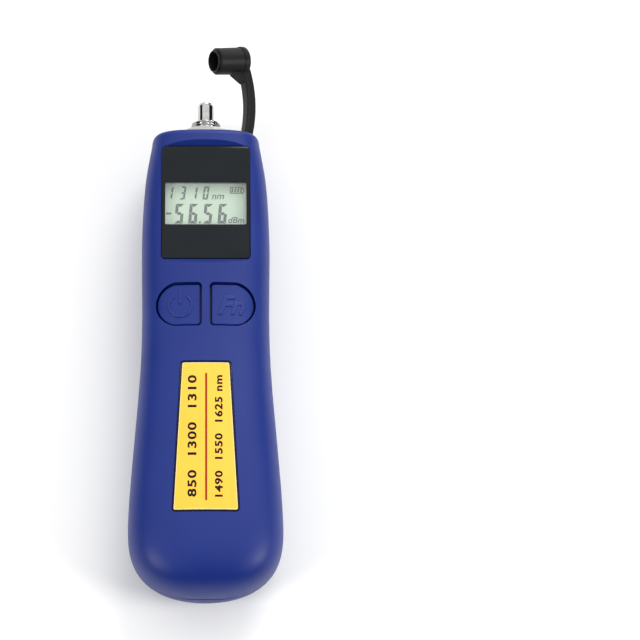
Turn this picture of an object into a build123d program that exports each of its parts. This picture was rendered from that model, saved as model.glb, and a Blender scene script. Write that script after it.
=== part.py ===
from build123d import *
import os
from functools import lru_cache
from math import cos, radians, sin, tan

# Sizes in millimetres. X runs to the right, Y along the meter towards the port
# and Z out of the front. The two case halves meet on Z = 0.

# Case outline
bulge_half_width = 20.25
waist_half_width = 17.0
top_half_width = 14.45
bulge_y = 18.5
body_length = 127.6
front_depth = 13.0
back_depth = 14.0
end_roundness = 2.6
end_depth_run = 16.0
end_depth_roundness = 3.2
front_fullness = 0.78
back_fullness = 0.56
wall = 1.8
seam_gap = 0.1
top_edge_radius = 1.5

# Sections along the case: share of the way from the bulge to the end face,
# share of the bulge still left in the half width, and how far the front has dropped
bulge_stations = [(0.018, 0.985, 0), (0.142, 0.74, 0.4), (0.28, 0.37, 1.2), (0.426, 0.05, 2.2), (0.582, 0, 2.85)]
# The same above the waist, with the share of the way that the sides have drawn in to the top
top_stations = [(0.729, -0.06, 3.0), (0.82, 0.08, 3.0), (0.894, 0.33, 3.0), (0.949, 0.7, 3.0), (1, 1, 3.0)]
end_angles = (87, 84, 78, 69, 58, 45, 32, 21, 11)

# Interlocking lip of the case halves
lip_thickness = 0.8
lip_height = 0.9
lip_clearance = 0.1

# Display window and its pocket
window_side_margin = 5.15
window_top_margin = 4.8
window_height = 32.3
window_thickness = 1.0
window_corner = 1.0
window_clearance = 0.1
window_pocket_depth = 1.3
window_ledge = 1.0
ledge_margin = 1.2
view_side_margin = 1.0
view_low_margin = 9.8
view_height = 12.0
view_margin = 0.4
pocket_reach = 3.0
pocket_draft = 45

# Display
glass_margin = 0.75
glass_thickness = 1.7
glass_gap = 0.3
holder_wall = 0.55
holder_lip = 0.6
backlight_thickness = 1.5
stack_gap = 0.05

# Keys
key_bar = 2.0
key_side_margin = 3.8
key_bow = 5.0
key_height = 12.3
key_window_gap = 7.0
key_corner = 1.2
key_shoulder_corner = 1.5
key_gap = 0.45
key_sink = 0.65
key_edge_radius = 0.35
key_flange = 0.7
key_flange_gap = 0.25
key_bottom_z = 5.2
key_travel = 0.5
key_stop_gap = 0.1
switch_side = 6.0
switch_body = 1.2
plunger_radius = 1.6

# Front label
label_low_y = 20.3
label_key_gap = 10.0
label_low_width = 17.2
label_high_width = 13.0
label_corner = 0.8
label_thickness = 0.25
label_sink = 0.05
label_gap = 0.25

# Rear label and its pocket
plate_width = 15.1
plate_height = 20.4
plate_top_margin = 12.9
plate_corner = 1.2
plate_thickness = 0.2
plate_gap = 0.2
plate_pocket_depth = 2.0
plate_backing = 1.4
backing_margin = 1.0

# Case screws
screw_x = 9.1
screw_top_margin = 8.1
screw_well_radius = 2.0
screw_head_radius = 1.65
screw_head_height = 1.2
screw_radius = 1.0
screw_length = 12.0
screw_sink = 2.2
well_boss_radius = 3.0
pillar_radius = 2.6
pilot_gap = 0.05
shank_clearance = 0.15
pilot_run_out = 1.2
head_bevel = 0.35
drive_slot_width = 0.5
drive_slot_length = 2.0
drive_slot_depth = 0.6

# Battery bay
bay_half_width = 12.0
bay_corner_margin = 3.36
bay_floor_margin = 2.0
bay_wall = 1.2
bay_side_wall = 2.0
bay_floor_z = 0.2
tray_gap = 0.25
tray_screw_margins = (9.5, 11.35)
tray_screw_length = 8.0
cell_radius = 5.25
cell_length = 43.5
cell_nub = 1.0
cell_nub_radius = 1.9
cell_x = 5.55
cell_z = -5.6
contact_thickness = 0.4
contact_gap = 0.05
contact_height = 7.6
spring_room = 2.4
leaf_thickness = 0.3
leaf_width = 3.2
leaf_half_height = 2.8
contact_half_width = 3.6
tab_width = 2.2
tab_length = 4.0
tab_clearance = 0.15

# Battery door
door_half_width = 13.0
door_top_margin = 0.75
door_thickness = 1.4
door_gap = 0.12
door_seat_gap = 0.25
door_corner = 1.9
tongue_half_width = 3.1
tongue_drop = 3.3
slot_width = 0.85
slot_drop = 8.6
rib_count = 7
rib_pitch = 1.1
rib_groove = 0.5
rib_depth = 0.3
rib_half_length = 2.75
rib_drop = 3.9
guide_thickness = 0.8
guide_gap = 0.3
guide_height = 1.3
guide_low_y = 12.0
guide_drop = 12.1
heel_radius = 0.6
heel_y = 0.85
heel_half_length = 8.5

# Port
thread_radius = 4.0
thread_length = 2.7
thread_chamfer = 0.3
tube_radius = 2.2
tube_length = 6.0
tip_radius = 1.9
tip_length = 0.9
tip_chamfer = 0.3
ferrule_radius = 1.25
nut_across_flats = 12.0
nut_thickness = 2.3
nut_turn = 14
nut_chamfer_angle = 30
port_clearance = 0.06
flange_radius = 5.5
flange_thickness = 1.4
skirt_radius = 3.9
skirt_length = 3.6
detector_radius = 2.7
detector_clearance = 0.1
detector_length = 3.7
lead_radius = 0.22
lead_pitch = 2.54
lead_overlap = 3.0

# Circuit board
board_side_margin = 4.0
board_low_margin = 4.95
board_top_margin = 11.8
board_thickness = 1.6
board_top_z = 2.9
board_screw_inset = 2.4
board_screw_low_margin = 6.0
board_screw_top_margin = 27.8
board_screw_radius = 0.8
board_screw_length = 4.6
board_screw_head = 1.5
board_screw_head_height = 0.9
board_pillar_radius = 1.8
chip_side = 10.0
chip_height = 1.2
chip_drop = 1.35

# Dust cap and strap
strap_x = 11.0
strap_turn = 27
pivot_depth = 2.2
foot_radius = 1.3
foot_length = 4.0
foot_clearance = 0.08
swing_limit = 12
neck_thickness = 1.5
neck_width = 2.4
neck_clearance = 0.15
shoulder_height = 0.85
strap_thickness = 2.6
strap_width = 3.4
strap_lean = 0.2
strap_bow = 1.7
strap_edge_radius = 0.6
socket_boss_thickness = 5.2
socket_boss_width = 6.4
socket_boss_depth = 4.6
cap_height = 23.7
cap_lean = 1.17
cap_tilt = 12
disc_radius = 4.0
disc_thickness = 1.8
disc_edge_radius = 0.8
nub_radius = 0.8
nub_height = 0.4
cap_root_radius = 3.8
cap_rim_radius = 3.67
cap_length = 7.6
cap_rim_bevel = 0.4
cap_bore_radius = 2.4
cap_floor = 1.1
cap_lip_radius = 2.98
cap_lip_thickness = 0.32
cap_lip_height = 0.5
cap_countersink = 0.9
web_run = 3.0
web_drop = 6.4
web_rise = 4.5

# A reach beyond the whole object, for cutting blocks
far = 200.0

# Places worked out from the sizes above
case_run = body_length - bulge_y
case_stations = [(bulge_y + share * case_run, waist_half_width + left * (bulge_half_width - waist_half_width),
                  front_depth - drop) for share, left, drop in bulge_stations]
case_stations += [(bulge_y + share * case_run, waist_half_width + drawn * (top_half_width - waist_half_width),
                   front_depth - drop) for share, drawn, drop in top_stations]
face_y = body_length
inner_face_y = face_y - wall
window_crown = case_stations[-1][2]
window_top_z = window_crown - window_pocket_depth
window_width = 2 * (waist_half_width - window_side_margin)
window_high_y = body_length - window_top_margin
window_low_y = window_high_y - window_height
window_y = (window_low_y + window_high_y) / 2
window_bottom_z = window_top_z - window_thickness
ledge_bottom_z = window_bottom_z - window_ledge
view_width = window_width - 2 * view_side_margin
view_low_y = window_low_y + view_low_margin
view_high_y = view_low_y + view_height
view_y = (view_low_y + view_high_y) / 2
glass_width = view_width + 2 * glass_margin
glass_height = view_height + 2 * glass_margin
glass_top_z = ledge_bottom_z - glass_gap
glass_bottom_z = glass_top_z - glass_thickness
key_reach = waist_half_width - key_side_margin
key_shoulder_x = key_reach - key_bow
key_high_y = window_low_y - key_window_gap
key_low_y = key_high_y - key_height
key_y = (key_low_y + key_high_y) / 2
key_half_height = key_height / 2
key_centre_x = (key_bar / 2 + key_reach) / 2
plunger_top_z = key_bottom_z - key_travel - key_stop_gap
label_high_y = key_low_y - label_key_gap
plate_y = body_length - plate_top_margin - plate_height / 2
screw_y = body_length - screw_top_margin
tray_share = (bay_half_width + bay_side_wall) / bulge_half_width
tray_corner_y = bulge_y * (1 - (1 - tray_share ** end_roundness) ** (1 / end_roundness))
cell_share = (cell_radius - cell_z + door_thickness) / back_depth
cell_floor_y = end_depth_run * (1 - (1 - cell_share ** end_depth_roundness) ** (1 / end_depth_roundness))
bay_low_y = max(tray_corner_y + bay_corner_margin, cell_floor_y + bay_floor_margin)
bay_length = contact_thickness * 2 + contact_gap * 3 + spring_room + cell_length + cell_nub
bay_high_y = bay_low_y + bay_length
tray_bottom_z = bay_floor_z + bay_wall
tray_screw_ys = (bay_low_y + tray_screw_margins[0], bay_high_y - tray_screw_margins[1])
door_top_y = bay_high_y + door_top_margin
tongue_top_y = door_top_y - tongue_drop
slot_low_y = door_top_y - slot_drop
rib_top_y = door_top_y - rib_drop
guide_high_y = door_top_y - guide_drop
heel_z = -seam_gap - heel_radius
board_half_width = waist_half_width - board_side_margin
board_low_y = bay_high_y + bay_wall + board_low_margin
board_high_y = body_length - board_top_margin
board_bottom_z = board_top_z - board_thickness
board_screw_x = board_half_width - board_screw_inset
board_screw_ys = (board_low_y + board_screw_low_margin, board_high_y - board_screw_top_margin)
chip_y = key_y - chip_drop
well_floor_z = -(back_depth * (1 - (screw_x / case_stations[7][1]) ** 2) ** 0.5 - screw_sink)
pivot_y = face_y - pivot_depth
thread_end_y = face_y + nut_thickness + thread_length
tip_y = thread_end_y + tube_length


def case_section(y, half_width, front, back):
    """One closed cross-section of the case, as four quarter curves."""
    f = front_fullness
    b = back_fullness
    right = (half_width, y, 0)
    left = (-half_width, y, 0)
    crown = (0, y, front)
    keel = (0, y, -back)
    quarters = [
        (right, (half_width, y, f * front), (f * half_width, y, front), crown),
        (crown, (-f * half_width, y, front), (-half_width, y, f * front), left),
        (left, (-half_width, y, -b * back), (-b * half_width, y, -back), keel),
        (keel, (b * half_width, y, -back), (half_width, y, -b * back), right),
    ]
    return Wire([Edge.make_bezier(*points) for points in quarters])


def round_end_sections(inset):
    """Sections that close the bulging lower end."""
    sections = []
    for angle in end_angles:
        reach = sin(radians(angle)) ** (2 / end_roundness)
        y = inset + (bulge_y - inset) * (1 - reach)
        half_width = (bulge_half_width - inset) * cos(radians(angle)) ** (2 / end_roundness)
        run = max(0, (end_depth_run - y) / (end_depth_run - inset))
        share = (1 - run ** end_depth_roundness) ** (1 / end_depth_roundness)
        front = share * (front_depth - inset)
        back = share * (back_depth - inset)
        sections.append(case_section(y, half_width, front, back))
    return sections


@lru_cache(maxsize=None)
def case_form(inset, ruled=False):
    """The whole case form, drawn in by inset all round but for its flat top."""
    sections = round_end_sections(inset)
    for y, half_width, front in case_stations:
        sections.append(case_section(y, half_width - inset, front - inset, back_depth - inset))
    return Solid.make_loft(sections, ruled=ruled)


def lining(inset):
    """The case form for inside faces, straight from section to section."""
    return case_form(inset, ruled=True)


def block(x_low, x_high, y_low, y_high, z_low, z_high):
    """A box between two corners."""
    size = Box(x_high - x_low, y_high - y_low, z_high - z_low)
    return Pos((x_low + x_high) / 2, (y_low + y_high) / 2, (z_low + z_high) / 2) * size


def rod(x, y, z_low, z_high, radius):
    """A round bar along Z."""
    return Pos(x, y, (z_low + z_high) / 2) * Cylinder(radius, z_high - z_low)


def turned(points):
    """A piece turned about Y from (radius, y) points."""
    profile = make_face(Polyline(*[(radius, y) for radius, y in points], close=True))
    return revolve(profile, Axis.Y)


def outer_form():
    """The case form with its top edge rounded."""
    form = case_form(0)
    top = form.faces().sort_by(Axis.Y)[-1]
    return form.fillet(top_edge_radius, top.edges())


def cavity(inset):
    """The inside of the case, closed by the end wall."""
    return lining(inset) & block(-far, far, -far, face_y - inset, -far, far)


def ring(outer_inset, inner_inset, z_low, z_high):
    """A band that follows the case wall."""
    band = cavity(outer_inset) & block(-far, far, -far, far, z_low, z_high)
    return band - cavity(inner_inset)


def strap_frame():
    """Frame at the strap's pivot: x towards the cap's mouth, y up along the meter."""
    turn = radians(strap_turn)
    towards_mouth = (-cos(turn), 0, sin(turn))
    across = (-sin(turn), 0, -cos(turn))
    return Plane(origin=(strap_x, pivot_y, 0), x_dir=towards_mouth, z_dir=across)


def strap_socket():
    """Room for the strap's round foot and its swinging neck."""
    place = strap_frame().location
    foot_room = Cylinder(foot_radius + foot_clearance, foot_length + 2 * foot_clearance)
    swing = radians(swing_limit)
    half_slot = neck_thickness / 2 / cos(swing) + pivot_depth * sin(swing) / cos(swing) + foot_clearance
    slot = Box(2 * half_slot, 2 * pivot_depth, neck_width + 2 * neck_clearance)
    return place * foot_room + place * Pos(0, pivot_depth, 0) * slot


def socket_boss():
    """The block behind the end wall that holds the strap's foot."""
    boss = Box(socket_boss_thickness, socket_boss_depth, socket_boss_width)
    middle = pivot_depth - socket_boss_depth / 2
    return (strap_frame().location * Pos(0, middle, 0) * boss) & lining(wall / 2)


def port_hole():
    """The round hole through the end wall."""
    radius = thread_radius + port_clearance
    low_y = inner_face_y - wall
    return turned([(0, low_y), (radius, low_y), (radius, thread_end_y), (0, thread_end_y)])


def rounded_outline(width, height, corner, y, z, facing):
    """A rounded rectangle lying across Z, facing up or down."""
    plane = Plane(origin=(0, y, z), x_dir=(1, 0, 0), z_dir=(0, 0, facing))
    return plane * RectangleRounded(width, height, corner)


def window_pocket():
    """Drafted pocket in the crown with a straight recess for the window."""
    width = window_width + 2 * window_clearance
    height = window_height + 2 * window_clearance
    outline = rounded_outline(width, height, window_corner + window_clearance, window_y, window_top_z, 1)
    recess = extrude(outline, -window_thickness)
    return extrude(outline, pocket_reach, taper=-pocket_draft) + recess


def view_opening():
    """The opening in the ledge that the display shows through."""
    half = view_width / 2 + view_margin
    return block(-half, half, view_low_y - view_margin, view_high_y + view_margin,
                 ledge_bottom_z - wall, window_top_z)


def key_outline(side, grow):
    """The D outline of a key, larger by grow all round."""
    inner_x = key_bar / 2 - grow
    half = key_half_height + grow
    inner_low = (inner_x, key_y - half)
    inner_high = (inner_x, key_y + half)
    shoulder_high = (key_shoulder_x, key_y + half)
    shoulder_low = (key_shoulder_x, key_y - half)
    arc = ThreePointArc(shoulder_high, (key_reach + grow, key_y), shoulder_low)
    sides = Polyline(shoulder_low, inner_low, inner_high, shoulder_high)
    face = make_face([arc, sides])
    face = fillet(face.vertices().sort_by(Axis.X)[:2], key_corner + grow)
    face = fillet(face.vertices().sort_by(Axis.X)[-2:], key_shoulder_corner + grow)
    return face if side > 0 else mirror(face, Plane.YZ)


def key_prism(side, grow, z_low, z_high):
    """The D outline raised between two heights."""
    return Pos(0, 0, z_low) * extrude(key_outline(side, grow), z_high - z_low)


def label_outline(grow):
    """The tapering front label, larger by grow all round."""
    low = label_low_width / 2 + grow
    high = label_high_width / 2 + grow
    bottom = label_low_y - grow
    top = label_high_y + grow
    face = make_face(Polyline((-low, bottom), (low, bottom), (high, top), (-high, top), close=True))
    return fillet(face.vertices(), label_corner + grow)


def label_band(grow, outer_inset, inner_inset):
    """A skin of the crown inside the label's outline."""
    prism = extrude(label_outline(grow), front_depth + wall)
    return (case_form(outer_inset) & prism) - lining(inner_inset)


def rear_pocket():
    """Drafted pocket for the rear label."""
    floor_z = -(back_depth - plate_pocket_depth)
    outline = rounded_outline(plate_width + 2 * plate_gap, plate_height + 2 * plate_gap,
                              plate_corner + plate_gap, plate_y, floor_z, -1)
    return extrude(outline, pocket_reach, taper=-pocket_draft)


def front_shell():
    """Front case half with its window pocket, key openings and pillars."""
    half = outer_form() & block(-far, far, -far, far, seam_gap / 2, far)
    shell = half - cavity(wall)
    backing_x = window_width / 2 + ledge_margin
    backing = block(-backing_x, backing_x, window_low_y - ledge_margin, window_high_y + ledge_margin,
                    ledge_bottom_z, window_crown)
    inside = backing
    for side in (-1, 1):
        inside += rod(side * screw_x, screw_y, seam_gap / 2, window_crown, pillar_radius)
        for y in board_screw_ys:
            inside += rod(side * board_screw_x, y, board_top_z, window_crown, board_pillar_radius)
    for y in tray_screw_ys:
        inside += rod(0, y, tray_bottom_z, front_depth, pillar_radius)
    shell += inside & lining(wall / 2)
    shell += socket_boss() & block(-far, far, -far, far, seam_gap / 2, far)
    lip = ring(wall - lip_thickness, wall, -lip_height, seam_gap)
    lip_stop_x = door_half_width + door_gap + lip_clearance
    lip -= block(-lip_stop_x, lip_stop_x, -far, bulge_y / 2, -far, far)
    shell += lip
    shell -= window_pocket()
    shell -= view_opening()
    for side in (-1, 1):
        shell -= key_prism(side, 0, key_bottom_z - wall, front_depth)
        shell -= rod(side * screw_x, screw_y, -lip_height, well_floor_z + screw_length + pilot_run_out,
                     screw_radius + pilot_gap)
        for y in board_screw_ys:
            shell -= rod(side * board_screw_x, y, 0, board_bottom_z + board_screw_length,
                         board_screw_radius + pilot_gap)
    for y in tray_screw_ys:
        shell -= rod(0, y, 0, bay_floor_z + tray_screw_length + pilot_run_out / 2, screw_radius + pilot_gap)
    shell -= label_band(label_gap, -wall, label_sink + label_thickness)
    shell -= port_hole()
    shell -= strap_socket()
    return shell


def door_prism(grow):
    """The door's outline from behind, larger by grow all round."""
    half = door_half_width + grow
    top = door_top_y + grow
    face = make_face(Polyline((-half, -wall), (half, -wall), (half, top), (-half, top), close=True))
    top_corners = face.vertices().sort_by(Axis.Y)[-2:]
    face = fillet(top_corners, door_corner + grow)
    return Pos(0, 0, -back_depth - wall) * extrude(face, back_depth + wall)


def tongue_notch(grow):
    """The notch in the door's top edge, with a slot on each side of the tongue."""
    outer = tongue_half_width + slot_width + grow
    cut = block(-outer, outer, tongue_top_y - grow, door_top_y + wall, -far, 0)
    for side in (-1, 1):
        slot_x = side * (tongue_half_width + slot_width / 2)
        slot_end_y = slot_low_y + slot_width / 2
        half = slot_width / 2 + grow
        cut += block(slot_x - half, slot_x + half, slot_end_y, door_top_y + wall, -far, 0)
        cut += rod(slot_x, slot_end_y, -far, 0, half)
    return cut


def battery_tray():
    """The open box that holds the two cells."""
    outer_x = bay_half_width + bay_side_wall
    tub = block(-outer_x, outer_x, bay_low_y - bay_wall, bay_high_y + bay_wall, -back_depth, tray_bottom_z)
    tub -= block(-bay_half_width, bay_half_width, bay_low_y, bay_high_y, -far, bay_floor_z)
    below = tub & cavity(door_thickness + door_seat_gap) & block(-far, far, -far, far, -far, -seam_gap / 2)
    tub = below + (tub & cavity(wall + tray_gap))
    for y in tray_screw_ys:
        tub -= rod(0, y, -1, tray_bottom_z + 1, screw_radius + shank_clearance)
    for side in (-1, 1):
        half = tab_width / 2 + tab_clearance
        thick = contact_thickness + tab_clearance
        x = side * cell_x
        tub -= block(x - half, x + half, bay_high_y - 1, bay_high_y + bay_wall + 1,
                     cell_z - thick / 2, cell_z + thick / 2)
    return tub


def rear_shell():
    """Rear case half with its label pocket, screw wells, door opening and battery tray."""
    half = outer_form() & block(-far, far, -far, far, -far, -seam_gap / 2)
    shell = half - cavity(wall)
    floor_z = -(back_depth - plate_pocket_depth)
    backing_x = plate_width / 2 + backing_margin
    backing_y = plate_height / 2 + backing_margin
    inside = block(-backing_x, backing_x, plate_y - backing_y, plate_y + backing_y,
                   -back_depth, floor_z + plate_backing)
    for side in (-1, 1):
        inside += rod(side * screw_x, screw_y, -back_depth, -seam_gap / 2, well_boss_radius)
    shell += inside & lining(wall / 2)
    shell += socket_boss() & block(-far, far, -far, far, -far, -seam_gap / 2)
    opening = door_prism(door_gap)
    tab_x = tongue_half_width
    opening -= block(-tab_x, tab_x, tongue_top_y + door_gap, door_top_y + wall, -far, 0)
    shell -= opening
    shell += battery_tray()
    shell -= ring(wall - lip_thickness - lip_clearance, wall, -lip_height - lip_clearance, 0)
    shell -= rear_pocket()
    for side in (-1, 1):
        shell -= rod(side * screw_x, screw_y, -back_depth, well_floor_z, screw_well_radius)
        shell -= rod(side * screw_x, screw_y, -back_depth, 0, screw_radius + shank_clearance)
    shell -= port_hole()
    shell -= strap_socket()
    return shell


def battery_door():
    """Door that follows the case, with its latch tongue, grip ribs and side guides."""
    door = (case_form(0) - lining(door_thickness)) & door_prism(0)
    door &= block(-far, far, -far, far, -far, -seam_gap)
    for side in (-1, 1):
        outer = side * (bay_half_width - guide_gap)
        inner = side * (bay_half_width - guide_gap - guide_thickness)
        strip = block(min(outer, inner), max(outer, inner), guide_low_y, guide_high_y, -back_depth, 0)
        door += (strip & lining(door_thickness / 2)) - lining(door_thickness + guide_height)
    door -= block(-heel_half_length, heel_half_length, -far, heel_y, heel_z, far)
    heel = Pos(0, heel_y, heel_z) * Rot(0, 90, 0) * Cylinder(heel_radius, 2 * heel_half_length)
    door += heel & case_form(0)
    door -= tongue_notch(0)
    skin = lining(-wall) - case_form(rib_depth)
    for index in range(rib_count):
        y = rib_top_y - index * rib_pitch
        groove = block(-rib_half_length, rib_half_length, y - rib_groove, y, -back_depth - wall, 0)
        door -= skin & groove
    return door


def display_window():
    """Flat window plate with rounded corners."""
    outline = rounded_outline(window_width, window_height, window_corner, window_y, window_top_z, 1)
    return extrude(outline, -window_thickness)


def lcd_glass():
    """The display's glass sandwich, with its lower contact step."""
    half_x = glass_width / 2
    low = view_y - glass_height / 2
    high = view_y + glass_height / 2
    middle_z = glass_bottom_z + glass_thickness / 2
    lower = block(-half_x, half_x, low, high, glass_bottom_z, middle_z)
    upper = block(-half_x, half_x, low + glass_margin, high, middle_z, glass_top_z)
    return lower + upper


def backlight_panel():
    """The light guide behind the display."""
    half_x = glass_width / 2
    half_y = glass_height / 2
    top = glass_bottom_z - stack_gap
    return block(-half_x, half_x, view_y - half_y, view_y + half_y, top - backlight_thickness, top)


def lcd_holder():
    """Frame that stands on the board round the display."""
    inner_x = glass_width / 2 + stack_gap
    inner_y = glass_height / 2 + stack_gap
    outer_x = inner_x + holder_wall
    outer_y = inner_y + holder_wall
    top = glass_top_z - holder_lip
    frame = block(-outer_x, outer_x, view_y - outer_y, view_y + outer_y, board_top_z, top)
    frame -= block(-inner_x, inner_x, view_y - inner_y, view_y + inner_y,
                   board_top_z - 1, top + 1)
    shelf_x = inner_x - holder_wall
    shelf_y = inner_y - holder_wall
    shelf_top = glass_bottom_z - 2 * stack_gap - backlight_thickness
    shelf = block(-outer_x, outer_x, view_y - outer_y, view_y + outer_y, board_top_z, shelf_top)
    shelf -= block(-shelf_x, shelf_x, view_y - shelf_y, view_y + shelf_y, board_top_z - 1, shelf_top + 1)
    return frame + shelf


def key(side):
    """A key cap whose top follows the crown, with a flange that holds it in."""
    top = case_form(key_sink) & key_prism(side, -key_gap, key_bottom_z, front_depth)
    flange = lining(wall + key_flange_gap) & key_prism(side, key_flange, key_bottom_z, front_depth)
    crown_edges = top.faces().sort_by(Axis.Z)[-1].edges()
    return top.solid().fillet(key_edge_radius, crown_edges) + flange


def key_switch(side):
    """A push switch under a key."""
    half = switch_side / 2
    x = side * key_centre_x
    body = block(x - half, x + half, key_y - half, key_y + half, board_top_z, board_top_z + switch_body)
    return body + rod(x, key_y, board_top_z, plunger_top_z, plunger_radius)


def front_label():
    """Thin label that follows the crown in its recess."""
    return label_band(0, label_sink, label_sink + label_thickness)


def rear_label():
    """Flat label in the rear pocket."""
    floor_z = -(back_depth - plate_pocket_depth)
    outline = rounded_outline(plate_width, plate_height, plate_corner, plate_y, floor_z, -1)
    return extrude(outline, plate_thickness)


def screw(x, y, seat_z, length, radius, head_radius, head_height):
    """A cross-slotted pan screw that points along +Z from its seat."""
    body = rod(x, y, seat_z - head_height, seat_z, head_radius)
    body = chamfer(body.edges().sort_by(Axis.Z)[0], head_height * head_bevel)
    body += rod(x, y, seat_z, seat_z + length, radius)
    slot_z = seat_z - head_height
    long_half = drive_slot_length / 2 * head_radius / screw_head_radius
    short_half = drive_slot_width / 2 * head_radius / screw_head_radius
    depth = drive_slot_depth * head_radius / screw_head_radius
    body -= block(x - long_half, x + long_half, y - short_half, y + short_half, slot_z, slot_z + depth)
    body -= block(x - short_half, x + short_half, y - long_half, y + long_half, slot_z, slot_z + depth)
    return body


def case_screws():
    """The two screws that show in the back."""
    return [screw(side * screw_x, screw_y, well_floor_z, screw_length, screw_radius,
                  screw_head_radius, screw_head_height) for side in (-1, 1)]


def tray_screws():
    """The two screws under the cells."""
    return [screw(0, y, bay_floor_z, tray_screw_length, screw_radius,
                  screw_head_radius, screw_head_height) for y in tray_screw_ys]


def board_screws():
    """The four small screws that hold the board."""
    return [screw(side * board_screw_x, y, board_bottom_z, board_screw_length, board_screw_radius,
                  board_screw_head, board_screw_head_height)
            for side in (-1, 1) for y in board_screw_ys]


def circuit_board():
    """Board with its four fixing holes."""
    board = block(-board_half_width, board_half_width, board_low_y, board_high_y, board_bottom_z, board_top_z)
    for side in (-1, 1):
        for y in board_screw_ys:
            board -= rod(side * board_screw_x, y, 0, board_top_z + 1, board_screw_radius + shank_clearance)
    return board


def processor_chip():
    """The flat chip under the board."""
    half = chip_side / 2
    return block(-half, half, chip_y - half, chip_y + half, board_bottom_z - chip_height, board_bottom_z)


def port_barrel():
    """Turned port: detector skirt, inner flange, threaded collar and ferrule tube."""
    back_y = inner_face_y - flange_thickness
    skirt_y = back_y - skirt_length
    detector_bore = detector_radius + detector_clearance
    return turned([
        (ferrule_radius, back_y), (detector_bore, back_y), (detector_bore, skirt_y),
        (skirt_radius, skirt_y), (skirt_radius, back_y), (flange_radius, back_y),
        (flange_radius, inner_face_y), (thread_radius, inner_face_y),
        (thread_radius, thread_end_y - thread_chamfer), (thread_radius - thread_chamfer, thread_end_y),
        (tube_radius, thread_end_y), (tube_radius, tip_y - tip_length),
        (tip_radius, tip_y - tip_length), (tip_radius, tip_y - tip_chamfer),
        (tip_radius - tip_chamfer, tip_y), (ferrule_radius, tip_y),
    ])


def port_nut():
    """Hexagon nut that clamps the port to the end wall."""
    corner_radius = nut_across_flats / 2 / cos(radians(30))
    plane = Plane(origin=(0, face_y, 0), x_dir=(1, 0, 0), z_dir=(0, 1, 0))
    hexagon = plane * (Rot(0, 0, -nut_turn) * RegularPolygon(corner_radius, 6))
    nut = extrude(hexagon, nut_thickness)
    drop = (corner_radius - nut_across_flats / 2) * tan(radians(nut_chamfer_angle))
    nut &= turned([(0, face_y), (corner_radius, face_y), (corner_radius, face_y + nut_thickness - drop),
                   (nut_across_flats / 2, face_y + nut_thickness), (0, face_y + nut_thickness)])
    return nut - port_hole()


def detector():
    """Photodiode can in the port's skirt, with two leads to the board."""
    front_y = inner_face_y - flange_thickness - stack_gap
    can = turned([(0, front_y - detector_length), (detector_radius, front_y - detector_length),
                  (detector_radius, front_y), (0, front_y)])
    lead_z = board_bottom_z - lead_radius - stack_gap
    low_y = board_high_y - lead_overlap
    for side in (-1, 1):
        run = Cylinder(lead_radius, front_y - detector_length - low_y + 1)
        middle_y = (front_y - detector_length + 1 + low_y) / 2
        can += Pos(side * lead_pitch / 2, middle_y, lead_z) * Rot(90, 0, 0) * run
    return can


def cell(side):
    """A battery cell, with its button end up on the left and down on the right."""
    low_y = bay_low_y + contact_thickness + contact_gap
    if side < 0:
        low_y += spring_room
    points = [(0, 0), (cell_radius, 0), (cell_radius, cell_length), (cell_nub_radius, cell_length),
              (cell_nub_radius, cell_length + cell_nub), (0, cell_length + cell_nub)]
    body = turned(points)
    if side > 0:
        body = Pos(0, cell_length + cell_nub, 0) * Rot(180, 0, 0) * body
    return Pos(side * cell_x, low_y, cell_z) * body


def contact_leaf(side, plate_y, facing):
    """A bowed leaf that presses on a cell's flat end."""
    rise = spring_room - contact_gap
    feet = [(cell_z - leaf_half_height, plate_y), (cell_z + leaf_half_height, plate_y)]
    crest = (cell_z, plate_y + facing * (rise - leaf_thickness / 2))
    bow = ThreePointArc(feet[0], crest, feet[1])
    strip = extrude(trace(bow, leaf_thickness), leaf_width / 2, both=True)
    upright = Plane(origin=(side * cell_x, 0, 0), x_dir=(0, 0, 1), z_dir=(-1, 0, 0))
    return upright.location * strip


def contact_plate(x_low, x_high, y_low):
    """A flat contact across a cell's end."""
    half = contact_height / 2
    plate = block(x_low, x_high, y_low, y_low + contact_thickness, cell_z - half, cell_z + half)
    return plate & lining(door_thickness + door_seat_gap + guide_gap)


def link_contact():
    """Lower contact that joins the two cells, with the left cell's leaf."""
    reach = cell_x + contact_half_width
    plate = contact_plate(-reach, reach, bay_low_y)
    return plate + contact_leaf(-1, bay_low_y + contact_thickness, 1)


def upper_contact(side):
    """Upper contact of one cell, with a tab that goes out through the tray's wall."""
    x = side * cell_x
    plate = contact_plate(x - contact_half_width, x + contact_half_width, bay_high_y - contact_thickness)
    tab = block(x - tab_width / 2, x + tab_width / 2, bay_high_y - contact_thickness, bay_high_y + tab_length,
                cell_z - contact_thickness / 2, cell_z + contact_thickness / 2)
    return plate + tab


def plus_contact():
    """Flat upper contact of the left cell."""
    return upper_contact(-1)


def minus_contact():
    """Sprung upper contact of the right cell."""
    return upper_contact(1) + contact_leaf(1, bay_high_y - contact_thickness, -1)


def strap_band():
    """The bowed strap, from its shoulder to the cap's disc."""
    low = (strap_lean, pivot_depth + shoulder_height)
    high = (cap_lean, pivot_depth + cap_height - disc_thickness / 2)
    middle = ((low[0] + high[0]) / 2 - strap_bow, (low[1] + high[1]) / 2)
    band = extrude(trace(ThreePointArc(low, middle, high), strap_thickness), strap_width / 2, both=True)
    long_edges = [edge for edge in band.edges() if edge.length > cap_height / 2]
    return band.solid().fillet(strap_edge_radius, long_edges)


def cap_web():
    """The wedge that joins the strap to the side of the cap."""
    top = pivot_depth + cap_height
    points = [(cap_lean - strap_thickness / 2, top - web_drop), (cap_lean, top - web_drop),
              (cap_lean + web_run, top - web_rise), (cap_lean + web_run, top), (cap_lean, top)]
    return extrude(make_face(Polyline(*points, close=True)), (strap_width - strap_edge_radius) / 2, both=True)


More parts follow.
